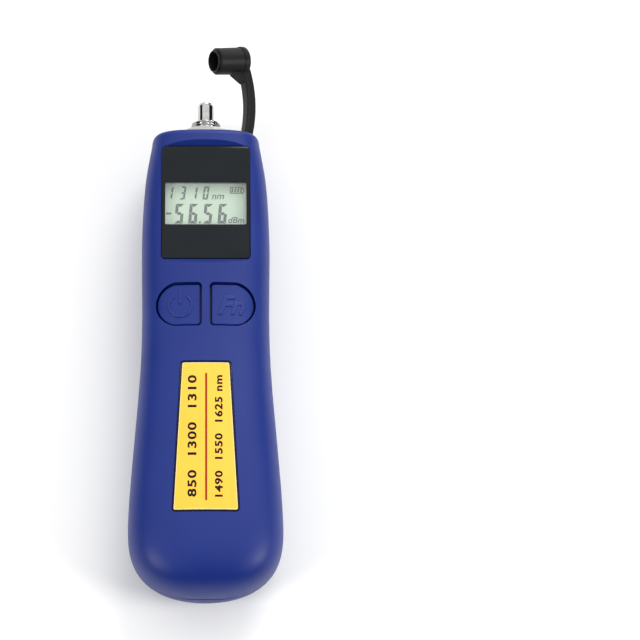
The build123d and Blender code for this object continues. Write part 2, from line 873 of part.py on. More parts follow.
def cap_profile():
    """Half section of the cap along its axis, from its disc to its lip."""
    back = -disc_thickness / 2
    root = disc_thickness / 2
    rim = root + cap_length
    lip = rim + cap_lip_height
    lip_bore = cap_lip_radius - cap_lip_thickness
    points = [
        (back - nub_height, 0), (back - nub_height, nub_radius), (back, nub_radius), (back, disc_radius),
        (root, disc_radius), (root, cap_root_radius), (rim - cap_rim_bevel, cap_rim_radius),
        (rim, cap_rim_radius - cap_rim_bevel), (rim, cap_lip_radius), (lip, cap_lip_radius),
        (lip, lip_bore), (rim - cap_countersink, cap_bore_radius), (root + cap_floor, cap_bore_radius),
        (root + cap_floor, 0),
    ]
    face = make_face(Polyline(*points, close=True))
    disc_corner = face.vertices().sort_by_distance(Vertex(back, disc_radius, 0))[0]
    return fillet(disc_corner, disc_edge_radius)


def dust_cap():
    """Rubber cap, strap, neck and round foot in one moulding."""
    foot = Cylinder(foot_radius, foot_length)
    neck_length = pivot_depth + shoulder_height + strap_edge_radius
    neck = Pos(0, neck_length / 2, 0) * Box(neck_thickness, neck_length, neck_width)
    cap_place = Pos(cap_lean, pivot_depth + cap_height, 0) * Rot(0, 0, -cap_tilt)
    cap_solid = cap_place * revolve(cap_profile(), Axis.X)
    bore_run = cap_length + cap_lip_height
    bore_start = disc_thickness / 2 + cap_floor
    bore_place = cap_place * Pos(bore_start + bore_run / 2, 0, 0) * Rot(0, 90, 0)
    bore = bore_place * Cylinder(cap_bore_radius, bore_run)
    moulding = foot + neck + strap_band() + (cap_web() - bore) + cap_solid - bore
    return strap_frame().location * moulding


def build_nodes():
    """Every node by name, in the construction frame."""
    return {
        "front_shell": [front_shell()],
        "rear_shell": [rear_shell()],
        "battery_door": [battery_door()],
        "display_window": [display_window()],
        "lcd_glass": [lcd_glass()],
        "lcd_holder": [lcd_holder()],
        "backlight_panel": [backlight_panel()],
        "power_key": [key(-1)],
        "function_key": [key(1)],
        "power_switch": [key_switch(-1)],
        "function_switch": [key_switch(1)],
        "front_label": [front_label()],
        "rear_label": [rear_label()],
        "case_screws": case_screws(),
        "tray_screws": tray_screws(),
        "board_screws": board_screws(),
        "circuit_board": [circuit_board()],
        "processor_chip": [processor_chip()],
        "port_barrel": [port_barrel()],
        "port_nut": [port_nut()],
        "detector": [detector()],
        "left_cell": [cell(-1)],
        "right_cell": [cell(1)],
        "link_contact": [link_contact()],
        "plus_contact": [plus_contact()],
        "minus_contact": [minus_contact()],
        "dust_cap": [dust_cap()],
    }


def resting_place(cap):
    """The move that puts the middle of the object's back at the origin."""
    return Pos(0, -cap.bounding_box().max.Y / 2, back_depth)


os.makedirs("parts", exist_ok=True)
nodes = build_nodes()
place = resting_place(nodes["dust_cap"][0])
for name, pieces in nodes.items():
    moved = [place * piece for piece in pieces]
    export_step(moved[0] if len(moved) == 1 else Compound(moved), "parts/" + name + ".step")
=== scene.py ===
import math
import bpy
import bmesh
from mathutils import Matrix, Vector
from mathutils.bvhtree import BVHTree


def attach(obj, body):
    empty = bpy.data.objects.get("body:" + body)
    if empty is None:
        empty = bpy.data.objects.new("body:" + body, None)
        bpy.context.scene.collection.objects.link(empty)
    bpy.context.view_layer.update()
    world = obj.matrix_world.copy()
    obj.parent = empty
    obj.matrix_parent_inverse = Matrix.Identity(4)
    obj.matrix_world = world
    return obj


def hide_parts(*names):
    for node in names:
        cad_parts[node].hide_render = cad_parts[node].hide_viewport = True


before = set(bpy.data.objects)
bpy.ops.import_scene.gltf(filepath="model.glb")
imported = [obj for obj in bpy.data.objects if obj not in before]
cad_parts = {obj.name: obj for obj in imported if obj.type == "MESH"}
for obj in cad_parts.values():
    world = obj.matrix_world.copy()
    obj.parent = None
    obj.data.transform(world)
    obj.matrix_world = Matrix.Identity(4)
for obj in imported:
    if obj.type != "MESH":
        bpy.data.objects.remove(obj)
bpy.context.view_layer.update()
print("frame loaded")

partingZ = 0.014                           # the two case halves meet here
bottomY = -0.07762543                      # lower end of the case


def mm(value):
    return value * 0.001


def spot(x, y, z):
    # millimetres from the case's lower end and the parting line
    return Vector((mm(x), bottomY + mm(y), partingZ + mm(z)))


# focalLength and frameWidth are pixels of the photograph, sensor is in millimetres
shot = {"elevation": 72.27, "distance": mm(752.6), "target": (mm(-1.0), mm(-13.83), mm(14.0)),
        "yaw": 2.387, "pitch": 0.898, "focalLength": 2830.6, "frameWidth": 640, "sensor": 36,
        "near": 0.01, "far": 10}


def makeCamera():
    data = bpy.data.cameras.new("photoCamera")
    camera = bpy.data.objects.new("photoCamera", data)
    bpy.context.scene.collection.objects.link(camera)
    rise = math.radians(shot["elevation"])
    yaw = math.radians(shot["yaw"])
    pitch = math.radians(shot["pitch"])
    towards = Vector((0, math.cos(rise), -math.sin(rise)))
    up = Vector((0, math.sin(rise), math.cos(rise)))
    camera.location = Vector(shot["target"]) - towards * shot["distance"]
    ahead = towards * math.cos(yaw) + Vector((1, 0, 0)) * math.sin(yaw)
    right = ahead.cross(up)
    ahead = ahead * math.cos(pitch) + up * math.sin(pitch)
    above = right.cross(ahead)
    turn = Matrix((right.normalized(), above.normalized(), -ahead.normalized())).transposed()
    camera.rotation_euler = turn.to_euler()
    data.sensor_width = shot["sensor"]
    data.lens = shot["focalLength"] / shot["frameWidth"] * data.sensor_width
    data.clip_start = shot["near"]
    data.clip_end = shot["far"]
    bpy.context.scene.camera = camera


# across and along are the sky's stops, each a position and a shade
studio = {"floorSize": 3.0, "sky": 1.05,
          "across": ((0.0, 1.0), (0.68, 1.0), (0.74, 0.02), (0.95, 0.02), (1.0, 0.4)),
          "along": ((0.25, 0.12), (0.45, 0.65), (0.6, 1.0))}
lamps = {"keyLight": {"power": 8.2, "size": 0.8, "place": (0.35, 1.0, 0.85)},
         "rightLight": {"power": 7.5, "size": 0.5, "place": (0.93, -0.30, 0.64)},
         "leftLight": {"power": 6.0, "size": 0.5, "place": (-0.85, -0.42, 0.70)}}


def makeAreaLight(name, look):
    data = bpy.data.lights.new(name, "AREA")
    data.energy = look["power"]
    data.shape = "DISK"
    data.size = look["size"]
    lamp = bpy.data.objects.new(name, data)
    lamp.location = look["place"]
    lamp.rotation_euler = (-Vector(look["place"])).to_track_quat("-Z", "Y").to_euler()
    bpy.context.scene.collection.objects.link(lamp)


def makeWorld():
    # across darkens the sky low at both sides, along darkens it towards the lower end
    world = bpy.data.worlds.new("studioWorld")
    bpy.context.scene.world = world
    world.use_nodes = True
    nodes = world.node_tree.nodes
    links = world.node_tree.links
    place = nodes.new("ShaderNodeTexCoord")
    split = nodes.new("ShaderNodeSeparateXYZ")
    side = nodes.new("ShaderNodeMath")
    side.operation = "ABSOLUTE"
    shift = nodes.new("ShaderNodeMath")
    shift.operation = "MULTIPLY_ADD"       # halves Y and adds a half, so it runs from 0 to 1
    shift.inputs[1].default_value = 0.5
    shift.inputs[2].default_value = 0.5
    both = nodes.new("ShaderNodeMath")
    both.operation = "MULTIPLY"
    links.new(place.outputs["Generated"], split.inputs[0])
    links.new(split.outputs["X"], side.inputs[0])
    links.new(split.outputs["Y"], shift.inputs[0])
    for index, (source, stops) in enumerate(((side, studio["across"]), (shift, studio["along"]))):
        ramp = nodes.new("ShaderNodeValToRGB")
        elements = ramp.color_ramp.elements
        while len(elements) < len(stops):
            elements.new(0.5)
        for element, (position, shade) in zip(elements, stops):
            element.position = position
            element.color = (shade, shade, shade, 1)
        links.new(source.outputs[0], ramp.inputs["Fac"])
        links.new(ramp.outputs["Color"], both.inputs[index])
    links.new(both.outputs[0], nodes["Background"].inputs["Color"])
    nodes["Background"].inputs["Strength"].default_value = studio["sky"]


def makeFloor():
    half = studio["floorSize"] / 2
    bm = bmesh.new()
    corners = [bm.verts.new((x * half, y * half, 0)) for x, y in ((-1, -1), (1, -1), (1, 1), (-1, 1))]
    bm.faces.new(corners)
    mesh = bpy.data.meshes.new("floor")
    bm.to_mesh(mesh)
    bm.free()
    floor = bpy.data.objects.new("floor", mesh)
    bpy.context.scene.collection.objects.link(floor)
    mesh.materials.append(materials["floorPaper"])


# shadeLow and shadeHigh are where the noise has turned fully dark or light
speckle = {"detail": 3.0, "grainDetail": 2.0, "shadeLow": 0.3, "shadeHigh": 0.7, "glossFiner": 3}


def noiseNode(tree, scale, detail, stretch):
    # noise over the object's own metres, so scale is cycles a metre
    place = tree.nodes.new("ShaderNodeTexCoord")
    mapping = tree.nodes.new("ShaderNodeMapping")
    mapping.inputs["Scale"].default_value = stretch
    noise = tree.nodes.new("ShaderNodeTexNoise")
    noise.inputs["Scale"].default_value = scale
    noise.inputs["Detail"].default_value = detail
    tree.links.new(place.outputs["Object"], mapping.inputs["Vector"])
    tree.links.new(mapping.outputs["Vector"], noise.inputs["Vector"])
    return noise


def varyColour(tree, shader, dark, light, scale, stretch):
    noise = noiseNode(tree, scale, speckle["detail"], stretch)
    ramp = tree.nodes.new("ShaderNodeValToRGB")
    stops = ((speckle["shadeLow"], dark), (speckle["shadeHigh"], light))
    for element, (position, colour) in zip(ramp.color_ramp.elements, stops):
        element.position = position
        element.color = (*colour, 1)
    tree.links.new(noise.outputs["Fac"], ramp.inputs["Fac"])
    tree.links.new(ramp.outputs["Color"], shader.inputs["Base Color"])


def varyRoughness(tree, shader, low, high, scale, stretch):
    noise = noiseNode(tree, scale, speckle["detail"], stretch)
    span = tree.nodes.new("ShaderNodeMapRange")
    span.inputs["To Min"].default_value = low
    span.inputs["To Max"].default_value = high
    tree.links.new(noise.outputs["Fac"], span.inputs["Value"])
    tree.links.new(span.outputs["Result"], shader.inputs["Roughness"])


def addGrain(tree, shader, scale, depth, strength, stretch):
    noise = noiseNode(tree, scale, speckle["grainDetail"], stretch)
    bump = tree.nodes.new("ShaderNodeBump")
    bump.inputs["Distance"].default_value = depth
    bump.inputs["Strength"].default_value = strength
    tree.links.new(noise.outputs["Fac"], bump.inputs["Height"])
    tree.links.new(bump.outputs["Normal"], shader.inputs["Normal"])


def makeFinish(name, look):
    # dark and light are the two shades that the noise mixes, low and high its roughness
    material = bpy.data.materials.new(name)
    material.use_nodes = True
    tree = material.node_tree
    shader = tree.nodes["Principled BSDF"]
    shader.inputs["Base Color"].default_value = (*look["light"], 1)
    shader.inputs["Roughness"].default_value = look["low"]
    shader.inputs["Metallic"].default_value = look.get("metallic", 0.0)
    stretch = look.get("stretch", (1, 1, 1))
    varyColour(tree, shader, look["dark"], look["light"], look["patch"], stretch)
    varyRoughness(tree, shader, look["low"], look["high"], look["patch"] * speckle["glossFiner"], stretch)
    if "grain" in look:
        addGrain(tree, shader, look["grain"], mm(look["depth"]), look["strength"], stretch)
    for socket, value in look.get("shader", {}).items():
        shader.inputs[socket].default_value = value
    return material


# patch and grain are cycles a metre, depth is in millimetres
finishes = {
    "floorPaper": {"dark": (0.93, 0.93, 0.925), "light": (0.95, 0.95, 0.945), "low": 0.85, "high": 0.95,
                   "patch": 3, "shader": {"Specular IOR Level": 0.1}},
    # satin moulded plastic with a fine spark-eroded grain
    "casePlastic": {"dark": (0.0020, 0.0170, 0.172), "light": (0.0035, 0.0210, 0.189),
                    "low": 0.42, "high": 0.50, "patch": 60, "grain": 5200, "depth": 0.02,
                    "strength": 0.30, "shader": {"Specular IOR Level": 0.36}},
    "keyPlastic": {"dark": (0.0020, 0.0170, 0.172), "light": (0.0035, 0.0210, 0.188),
                   "low": 0.32, "high": 0.38, "patch": 90, "grain": 6500, "depth": 0.01,
                   "strength": 0.20, "shader": {"Specular IOR Level": 0.36}},
    "signPlastic": {"dark": (0.0025, 0.0180, 0.176), "light": (0.0040, 0.0220, 0.193),
                    "low": 0.28, "high": 0.34, "patch": 90, "shader": {"Specular IOR Level": 0.4}},
    "windowBlack": {"dark": (0.0030, 0.0055, 0.0080), "light": (0.0045, 0.0075, 0.0105),
                    "low": 0.10, "high": 0.14, "patch": 120, "shader": {"Specular IOR Level": 0.25}},
    "windowClear": {"dark": (0.80, 0.85, 0.84), "light": (0.86, 0.90, 0.88), "low": 0.04, "high": 0.06,
                    "patch": 120, "shader": {"Alpha": 0.07, "Specular IOR Level": 0.5}},
    "lcdGlass": {"dark": (0.455, 0.580, 0.452), "light": (0.480, 0.605, 0.472), "low": 0.30, "high": 0.36,
                 "patch": 150},
    "lcdInk": {"dark": (0.050, 0.070, 0.064), "light": (0.066, 0.090, 0.080), "low": 0.40, "high": 0.50,
               "patch": 200},
    "labelYellow": {"dark": (0.935, 0.520, 0.048), "light": (0.975, 0.555, 0.058), "low": 0.34, "high": 0.42,
                    "patch": 70, "grain": 2600, "depth": 0.006, "strength": 0.2,
                    "shader": {"Specular IOR Level": 0.3}},
    "labelPale": {"dark": (0.86, 0.70, 0.34), "light": (0.90, 0.75, 0.40), "low": 0.40, "high": 0.48,
                  "patch": 200},
    "labelDark": {"dark": (0.004, 0.003, 0.004), "light": (0.009, 0.007, 0.008), "low": 0.45, "high": 0.55,
                  "patch": 300, "shader": {"Specular IOR Level": 0.15}},
    "labelRed": {"dark": (0.32, 0.030, 0.003), "light": (0.39, 0.038, 0.004), "low": 0.42, "high": 0.50,
                 "patch": 200, "shader": {"Specular IOR Level": 0.2}},
    "labelWhite": {"dark": (0.82, 0.82, 0.81), "light": (0.88, 0.88, 0.875), "low": 0.38, "high": 0.46,
                   "patch": 80, "grain": 2600, "depth": 0.006, "strength": 0.2},
    "labelGrey": {"dark": (0.24, 0.24, 0.25), "light": (0.30, 0.30, 0.31), "low": 0.45, "high": 0.55,
                  "patch": 200},
    "chrome": {"dark": (0.50, 0.50, 0.49), "light": (0.64, 0.64, 0.63), "low": 0.03, "high": 0.09,
               "patch": 350, "metallic": 1.0, "stretch": (1, 6, 1)},
    "screwSteel": {"dark": (0.56, 0.56, 0.57), "light": (0.70, 0.70, 0.70), "low": 0.20, "high": 0.32,
                   "patch": 900, "metallic": 1.0, "grain": 7000, "depth": 0.008, "strength": 0.3},
    "contactNickel": {"dark": (0.60, 0.58, 0.54), "light": (0.74, 0.72, 0.67), "low": 0.24, "high": 0.36,
                      "patch": 500, "metallic": 1.0},
    "rubber": {"dark": (0.0045, 0.0050, 0.0046), "light": (0.0075, 0.0082, 0.0076), "low": 0.42, "high": 0.54,
               "patch": 160, "grain": 4200, "depth": 0.015, "strength": 0.35,
               "shader": {"Specular IOR Level": 0.2}},
    "boardGreen": {"dark": (0.012, 0.085, 0.030), "light": (0.018, 0.120, 0.042), "low": 0.28, "high": 0.40,
                   "patch": 400, "stretch": (1, 0.3, 1), "grain": 1800, "depth": 0.02, "strength": 0.3},
    "chipBlack": {"dark": (0.010, 0.010, 0.011), "light": (0.018, 0.018, 0.019), "low": 0.5, "high": 0.62,
                  "patch": 500, "grain": 6000, "depth": 0.01, "strength": 0.4},
    "whitePlastic": {"dark": (0.74, 0.74, 0.72), "light": (0.82, 0.82, 0.80), "low": 0.42, "high": 0.52,
                     "patch": 120, "grain": 3000, "depth": 0.01, "strength": 0.2},
    "cellSleeve": {"dark": (0.10, 0.10, 0.11), "light": (0.16, 0.16, 0.17), "low": 0.22, "high": 0.34,
                   "patch": 150, "stretch": (1, 0.2, 1)},
}

nodeLooks = {
    "front_shell": "casePlastic", "rear_shell": "casePlastic", "battery_door": "casePlastic",
    "display_window": "windowBlack", "lcd_glass": "lcdGlass", "lcd_holder": "whitePlastic",
    "backlight_panel": "whitePlastic", "power_key": "keyPlastic", "function_key": "keyPlastic",
    "power_switch": "chipBlack", "function_switch": "chipBlack", "front_label": "labelYellow",
    "rear_label": "labelWhite", "case_screws": "screwSteel", "tray_screws": "screwSteel",
    "board_screws": "screwSteel", "circuit_board": "boardGreen", "processor_chip": "chipBlack",
    "port_barrel": "chrome", "port_nut": "chrome", "detector": "contactNickel", "left_cell": "cellSleeve",
    "right_cell": "cellSleeve", "link_contact": "contactNickel", "plus_contact": "contactNickel",
    "minus_contact": "contactNickel", "dust_cap": "rubber"}


def shadeNodes():
    for name, look in nodeLooks.items():
        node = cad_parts[name]
        node.data.materials.clear()
        node.data.materials.append(materials[look])


weld = 0.0005                              # points nearer than this, in millimetres, become one


def addPiece(name, mesh, look, body, sharp=35, replaces=None):
    # edges that turn by more than sharp degrees stay crisp
    mesh.materials.clear()
    mesh.materials.append(materials[look])
    piece = bpy.data.objects.new(name, mesh)
    bpy.context.scene.collection.objects.link(piece)
    bm = bmesh.new()
    bm.from_mesh(mesh)
    bmesh.ops.remove_doubles(bm, verts=bm.verts, dist=mm(weld))
    bmesh.ops.recalc_face_normals(bm, faces=bm.faces)
    for face in bm.faces:
        face.smooth = True
    for edge in bm.edges:
        if len(edge.link_faces) == 2 and edge.calc_face_angle(0) > math.radians(sharp):
            edge.smooth = False
    bm.to_mesh(mesh)
    bm.free()
    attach(piece, body)
    if replaces:
        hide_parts(replaces)


def curveMesh(curve):
    # a curve or word, filled and thickened, as a mesh in millimetres
    holder = bpy.data.objects.new("drawing", curve)
    bpy.context.scene.collection.objects.link(holder)
    depsgraph = bpy.context.evaluated_depsgraph_get()
    depsgraph.update()
    mesh = bpy.data.meshes.new_from_object(holder.evaluated_get(depsgraph))
    bpy.data.objects.remove(holder)
    return mesh


def plateMesh(outlines, low, high, bevel=0.0):
    # an outline inside another one is a hole
    curve = bpy.data.curves.new("outline", "CURVE")
    curve.dimensions = "2D"
    curve.fill_mode = "BOTH"
    curve.extrude = (high - low) / 2 - bevel
    curve.bevel_depth = bevel
    curve.offset = -bevel
    curve.bevel_resolution = 2
    for outline in outlines:
        line = curve.splines.new("POLY")
        line.points.add(len(outline) - 1)
        for point, (x, y) in zip(line.points, outline):
            point.co = (x, y, 0, 1)
        line.use_cyclic_u = True
    mesh = curveMesh(curve)
    mesh.transform(Matrix.Translation((0, 0, (low + high) / 2)))
    return mesh


def cornerArc(x, y, radius, side, steps):
    # a quarter turn about (x, y), side 0 being the upper right one
    angles = [math.radians(90 * (side + step / steps)) for step in range(steps + 1)]
    return [(x + radius * math.cos(angle), y + radius * math.sin(angle)) for angle in angles]


def roundedBox(width, height, corner, x=0.0, y=0.0, steps=6):
    points = []
    for side, (sx, sy) in enumerate(((1, 1), (-1, 1), (-1, -1), (1, -1))):
        points += cornerArc(x + sx * (width / 2 - corner), y + sy * (height / 2 - corner), corner, side, steps)
    return points


def wordMesh(words, height, thick, bold=0.0, slant=0.0, bevel=0.0, spread=1.0):
    # height is that of the tallest letter, and the word is centred on its own box
    curve = bpy.data.curves.new("word", "FONT")
    curve.body = words
    curve.shear = slant
    curve.space_character = spread
    curve.resolution_u = 3
    flat = curveMesh(curve)
    tall = max(v.co.y for v in flat.vertices) - min(v.co.y for v in flat.vertices)
    curve = curve.copy()
    curve.size = height / tall
    curve.offset = bold
    curve.extrude = thick / 2 - bevel
    curve.bevel_depth = bevel
    mesh = curveMesh(curve)
    xs = [v.co.x for v in mesh.vertices]
    ys = [v.co.y for v in mesh.vertices]
    mesh.transform(Matrix.Translation((-(min(xs) + max(xs)) / 2, -(min(ys) + max(ys)) / 2, thick / 2)))
    return mesh


def moved(mesh, x, y, turn=0.0, flip=False):
    # flip mirrors the drawing for a face that looks down
    if flip:
        mesh.transform(Matrix.Diagonal((-1, 1, 1, 1)))
    mesh.transform(Matrix.Translation((x, y, 0)) @ Matrix.Rotation(math.radians(turn), 4, "Z"))
    return mesh


def joined(name, meshes):
    bm = bmesh.new()
    for mesh in meshes:
        bm.from_mesh(mesh)
    whole = bpy.data.meshes.new(name)
    bm.to_mesh(whole)
    bm.free()
    return whole


def placeMesh(mesh):
    for vertex in mesh.vertices:
        vertex.co = spot(*vertex.co)
    return mesh


# halvings is the most that a long edge is cut, probe and near are heights in millimetres
drape = {"halvings": 7, "probe": 40, "near": 12}


def cutLongEdges(mesh, limit):
    bm = bmesh.new()
    bm.from_mesh(mesh)
    bmesh.ops.remove_doubles(bm, verts=bm.verts, dist=weld)
    for halving in range(drape["halvings"]):
        bmesh.ops.triangulate(bm, faces=bm.faces)
        long = [edge for edge in bm.edges if edge.calc_length() > limit]
        if not long:
            break
        bmesh.ops.subdivide_edges(bm, edges=long, cuts=1)
    bmesh.ops.triangulate(bm, faces=bm.faces)
    bm.to_mesh(mesh)
    bm.free()


def surfaceTree(nodeName):
    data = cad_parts[nodeName].data
    return BVHTree.FromPolygons([v.co for v in data.vertices], [tuple(p.vertices) for p in data.polygons])


def drapeMesh(mesh, nodeName, side=1, limit=1.0, pull=0.0, middleY=0.0):
    # lays a flat drawing on a node's outside: side is 1 for the front and -1 for the back
    # pull reads the height that share nearer to the middle, for what reaches past the node's rim
    cutLongEdges(mesh, limit)
    tree = surfaceTree(nodeName)
    for vertex in mesh.vertices:
        x, y, lift = vertex.co
        place = spot(x, y, 0)
        probe = spot(x * (1 - pull), y + (middleY - y) * pull, drape["probe"] * side)
        hit = tree.ray_cast(probe, Vector((0, 0, -side)))[0]
        if hit is None:
            hit = tree.find_nearest(spot(x, y, drape["near"] * side))[0]
        vertex.co = (place.x, place.y, hit.z + side * mm(lift))
    return mesh


window = {"width": 23.5, "height": 32.1, "y": 106.65, "corner": 1.0, "low": 7.7, "high": 8.7, "bevel": 0.12,
          "viewWidth": 21.7, "viewHeight": 12.0, "viewLowY": 100.3, "viewCorner": 0.35,
          "paneLap": 0.1, "paneRise": 0.3, "paneDrop": 0.12}


def makeWindow():
    # a black plate with an opening, and a clear pane set a little below its face
    viewY = window["viewLowY"] + window["viewHeight"] / 2
    outer = roundedBox(window["width"], window["height"], window["corner"], 0, window["y"])
    hole = roundedBox(window["viewWidth"], window["viewHeight"], window["viewCorner"], 0, viewY)
    plate = plateMesh([outer, hole], window["low"], window["high"], window["bevel"])
    addPiece("window_mask", placeMesh(plate), "windowBlack", "case", sharp=60,
             replaces="display_window")
    inner = roundedBox(window["viewWidth"] + window["paneLap"], window["viewHeight"] + window["paneLap"],
                       window["viewCorner"], 0, viewY)
    pane = plateMesh([inner], window["low"] + window["paneRise"], window["high"] - window["paneDrop"])
    addPiece("window_pane", placeMesh(pane), "windowClear", "case", sharp=30)


# millimetres from the display's lower left corner, boxes as (left, right, low, high)
display = {"top": 6.4, "ink": 0.05, "left": -10.85, "low": 101.0, "gap": 0.07,
           "bigTop": 5.95, "bigLow": 0.35, "bigWidth": 2.28, "bigThick": 0.80, "bigSlant": 5.0,
           "bigDigits": ((2.35, "5"), (6.1, "6"), (10.05, "5"), (13.95, "6")),
           "smallTop": 10.95, "smallLow": 7.2, "smallWidth": 1.46, "smallThick": 0.50, "smallSlant": 8.0,
           "smallDigits": ((0.30, "1"), (3.70, "3"), (6.78, "1"), (9.90, "0")),
           "minus": (0.2, 1.6, 2.9, 3.45), "minusLean": 0.05, "point": (9.0, 9.5, 0.4, 0.95),
           "unitBold": 0.025, "units": (("nm", 14.1, 7.95, 1.22, 0.25), ("dBm", 19.0, 1.35, 1.65, 0.2))}
battery = {"box": (17.3, 21.15, 8.9, 10.75), "line": 0.22, "nose": 0.45, "noseCut": 0.6, "innerCut": 0.72,
           "bars": 4, "barStart": 0.38, "barSpare": 0.3, "barShare": 0.52, "barInset": 0.36, "barLean": 0.18}
segments = {"0": "abcdef", "1": "bc", "3": "abgcd", "5": "afgcd", "6": "afgecd"}


def segmentShapes(letters, width, height, thick, gap):
    # each letter is one bar of the digit, mitred to its neighbours
    middle = height / 2
    half = thick / 2
    inner = thick + gap
    roof = [(gap, height), (width - gap, height), (width - inner, height - thick), (inner, height - thick)]
    waist = [(half + gap, middle), (inner, middle + half), (width - inner, middle + half),
             (width - half - gap, middle), (width - inner, middle - half), (inner, middle - half)]
    post = [(0, height - gap), (thick, height - inner), (thick, middle + half + gap), (half, middle + gap),
            (0, middle + gap)]
    bars = {"a": roof, "d": [(x, height - y) for x, y in roof], "g": waist, "f": post,
            "e": [(x, height - y) for x, y in post], "b": [(width - x, y) for x, y in post],
            "c": [(width - x, height - y) for x, y in post]}
    return [bars[letter] for letter in letters]


def digitShapes(kind):
    # kind is big or small
    lean = math.tan(math.radians(display[kind + "Slant"]))
    low = display[kind + "Low"]
    tall = display[kind + "Top"] - low
    shapes = []
    for start, digit in display[kind + "Digits"]:
        for shape in segmentShapes(segments[digit], display[kind + "Width"], tall, display[kind + "Thick"],
                                   display["gap"]):
            shapes.append([(start + x + y * lean, low + y) for x, y in shape])
    return shapes


def boxShape(left, right, low, high, lean=0.0):
    return [(left, low), (right, low), (right + lean, high), (left + lean, high)]


def batteryShapes():
    left, right, low, high = battery["box"]
    line = battery["line"]
    cut = battery["noseCut"]
    innerCut = battery["innerCut"]
    shoulder = right - battery["nose"]
    shapes = [boxShape(left, shoulder, low, low + line), boxShape(left, shoulder, high - line, high),
              boxShape(left, left + line, low + line, high - line),
              [(shoulder, low), (right, low + cut), (right, high - cut), (shoulder, high),
               (shoulder - line, high - line), (right - line, high - innerCut), (right - line, low + innerCut),
               (shoulder - line, low + line)]]
    pitch = (shoulder - left - battery["barSpare"]) / battery["bars"]
    inset = battery["barInset"]
    for bar in range(battery["bars"]):
        start = left + battery["barStart"] + bar * pitch
        shapes.append(boxShape(start, start + pitch * battery["barShare"], low + inset, high - inset,
                               battery["barLean"]))
    return shapes


def prismMesh(shapes, low, high):
    bm = bmesh.new()
    for shape in shapes:
        under = [bm.verts.new((x, y, low)) for x, y in shape]
        over = [bm.verts.new((x, y, high)) for x, y in shape]
        bm.faces.new(under)
        bm.faces.new(over)
        count = len(shape)
        for at in range(count):
            after = (at + 1) % count
            bm.faces.new((under[at], under[after], over[after], over[at]))
    mesh = bpy.data.meshes.new("prisms")
    bm.to_mesh(mesh)
    bm.free()
    return mesh


def makeDisplay():
    shapes = digitShapes("big") + digitShapes("small")
    shapes += [boxShape(*display["minus"], display["minusLean"]), boxShape(*display["point"])]
    shapes += batteryShapes()
    parts = [prismMesh(shapes, 0, display["ink"])]
    for text, x, y, tall, slant in display["units"]:
        parts.append(moved(wordMesh(text, tall, display["ink"], display["unitBold"], slant), x, y))
    whole = joined("lcdInk", parts)
    whole.transform(Matrix.Translation((display["left"], display["low"], display["top"])))
    addPiece("lcd_segments", placeMesh(whole), "lcdInk", "case", sharp=30)


# ringOpen is half of the ring's opening in degrees
signs = {"height": 0.22, "root": 0.06, "bevel": 0.05, "drapeStep": 0.8,
         "powerX": -6.75, "powerY": 77.1, "ringOuter": 3.35, "ringInner": 2.75, "ringOpen": 32,
         "ringSteps": 48, "barWidth": 0.85, "barLow": 0.5, "barHigh": 4.4,
         "fnX": 6.85, "fnY": 77.2, "fnHeight": 4.95, "fnBold": 0.13, "fnSlant": 0.32}


def makeSigns():
    steps = signs["ringSteps"]
    opening = signs["ringOpen"]
    angles = [math.radians(90 + opening + (360 - 2 * opening) * step / steps) for step in range(steps + 1)]
    outer = [(signs["ringOuter"] * math.cos(a), signs["ringOuter"] * math.sin(a)) for a in angles]
    inner = [(signs["ringInner"] * math.cos(a), signs["ringInner"] * math.sin(a)) for a in reversed(angles)]
    half = signs["barWidth"] / 2
    bar = [(-half, signs["barLow"]), (half, signs["barLow"]), (half, signs["barHigh"] - half),
           (0, signs["barHigh"]), (-half, signs["barHigh"] - half)]
    power = plateMesh([outer + inner, bar], -signs["root"], signs["height"], signs["bevel"])
    power = moved(power, signs["powerX"], signs["powerY"])
    thick = signs["height"] + signs["root"]
    fn = wordMesh("Fn", signs["fnHeight"], thick, signs["fnBold"], signs["fnSlant"], signs["bevel"])
    fn.transform(Matrix.Translation((signs["fnX"], signs["fnY"], -signs["root"])))
    for name, sign, key in (("power_sign", power, "power_key"), ("function_sign", fn, "function_key")):
        addPiece(name, drapeMesh(sign, key, 1, signs["drapeStep"]), "signPlastic", key, sharp=50)


# print is how far the ink stands up, sunk how far it reaches in, rows are (x, height, words)
faceLabel = {"lowY": 20.3, "highY": 61.2, "lowWidth": 17.2, "highWidth": 13.0, "corner": 0.8,
             "leastCorner": 0.2, "edgeInset": -0.02, "edge": 0.36, "edgeDepth": 0.2, "edgePull": 0.018,
             "pale": 0.18, "print": 0.03, "sunk": 0.01, "bold": 0.085, "spread": 1.12,
             "redX": 0.1, "redLow": 23.1, "redHigh": 57.9, "redWidth": 0.55, "redCorner": 0.1,
             "wordLow": 24.0, "wordHigh": 57.3,
             "rows": ((-3.55, 2.15, "850  1300  1310"), (3.35, 1.85, "1490  1550  1625 nm"))}


def labelOutline(inset, steps=6):
    # the label narrows towards the keys, with round corners
    low = faceLabel["lowY"] + inset
    high = faceLabel["highY"] - inset
    lowHalf = faceLabel["lowWidth"] / 2 - inset
    highHalf = faceLabel["highWidth"] / 2 - inset
    corner = max(faceLabel["corner"] - inset, faceLabel["leastCorner"])
    points = []
    for side, (sx, sy) in enumerate(((1, 1), (-1, 1), (-1, -1), (1, -1))):
        x = sx * (highHalf if sy > 0 else lowHalf)
        y = high if sy > 0 else low
        points += cornerArc(x - sx * corner, y - sy * corner, corner, side, steps)
    return points


def rowMesh(text, tall, length, label):
    # a row of print stretched to its length
    row = wordMesh(text, tall, label["print"] + label["sunk"], label["bold"], spread=label["spread"])
    long = max(v.co.x for v in row.vertices) * 2
    row.transform(Matrix.Diagonal((length / long, 1, 1, 1)))
    row.transform(Matrix.Translation((0, 0, -label["sunk"])))
    return row


